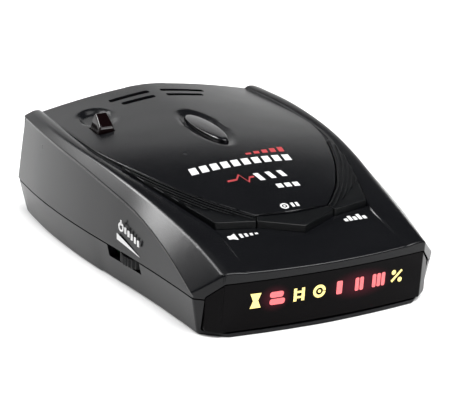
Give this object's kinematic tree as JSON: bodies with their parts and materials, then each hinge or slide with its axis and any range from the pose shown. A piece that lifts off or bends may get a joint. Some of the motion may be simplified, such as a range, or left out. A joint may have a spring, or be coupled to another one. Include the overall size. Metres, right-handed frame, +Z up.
{
  "type": "radar detector",
  "caption": "Wedge-shaped dashboard radar and laser detector with a glowing icon display, press keys, a bracket release button and a side volume wheel.",
  "frame": {"origin": "on the flat base, under the middle of the case", "axes": "+Y towards the antenna end and the road, -Y the display end, +X right as the driver sees it, +Z up"},
  "size_m": [0.075, 0.11, 0.0325],
  "materials": {
    "case_plastic": "fine textured black",
    "lens_gloss": "polished smoked black",
    "key_plastic": "satin black",
    "button_gloss": "semi-gloss black",
    "laser_lens": "polished very dark red",
    "inner_black": "moulded black",
    "board_green": "solder mask",
    "screw_steel": "zinc plated",
    "cast_alloy": "raw zinc die casting",
    "shield_tin": "tinned sheet",
    "speaker_paper": "coated paper",
    "led_red": "clear tinted",
    "led_amber": "clear tinted",
    "glow_red": "lit icon",
    "glow_amber": "lit icon",
    "print_white": "pad print",
    "print_red": "pad print"
  },
  "bodies": {
    "case": {"upper_case": "case_plastic", "lower_case": "case_plastic", "case_screw_1": "screw_steel", "case_screw_2": "screw_steel", "case_screw_3": "screw_steel", "case_screw_4": "screw_steel", "display_lens": "lens_gloss", "light_mask": "inner_black", "display_board": "board_green", "display_led_1": "led_amber", "display_led_2": "led_red", "display_led_3": "led_amber", "display_led_4": "led_amber", "display_led_5": "led_red", "display_led_6": "led_red", "display_led_7": "led_red", "display_led_8": "led_amber", "left_switch": "inner_black", "middle_switch": "inner_black", "right_switch": "inner_black", "volume_pot": "inner_black", "release_spring": "screw_steel", "main_board": "board_green", "antenna_horn": "cast_alloy", "signal_shield": "shield_tin", "processor": "inner_black", "supply_capacitor": "inner_black", "road_laser_sensor": "inner_black", "power_jack": "inner_black", "road_laser_lens": "laser_lens", "rear_laser_lens": "laser_lens", "speaker_frame": "shield_tin", "speaker_cone": "speaker_paper"},
    "left_key": {"left_key": "key_plastic"},
    "middle_key": {"middle_key": "key_plastic"},
    "right_key": {"right_key": "key_plastic"},
    "volume_wheel": {"volume_wheel": "key_plastic"},
    "release_button": {"release_button": "button_gloss"}
  },
  "joints": [
    {"name": "left_key_press", "type": "hinge", "parent": "case", "child": "left_key", "pos_m": [-0.0289, -0.0048, 0.0252], "axis": [1, 0, 0], "range_deg": [0, 0.9], "stiffness_Nm_per_rad": 0.4, "springref_deg": -0.69},
    {"name": "right_key_press", "type": "hinge", "parent": "case", "child": "right_key", "pos_m": [0.0289, -0.0048, 0.0252], "axis": [1, 0, 0], "range_deg": [0, 0.9], "stiffness_Nm_per_rad": 0.4, "springref_deg": -0.69},
    {"name": "middle_key_press", "type": "slide", "parent": "case", "child": "middle_key", "axis": [0, 0, -1], "range_m": [0, 0.0005], "stiffness_N_per_m": 500, "springref_m": -0.0008},
    {"name": "release_press", "type": "slide", "parent": "case", "child": "release_button", "axis": [0, 0, -1], "range_m": [0, 0.0018], "stiffness_N_per_m": 400, "springref_m": -0.0015, "deforming": ["release_spring"]},
    {"name": "volume_turn", "type": "hinge", "parent": "case", "child": "volume_wheel", "pos_m": [-0.0265, -0.0155, 0.0076], "axis": [0, 0, 1], "range_deg": [0, 280]}
  ]
}
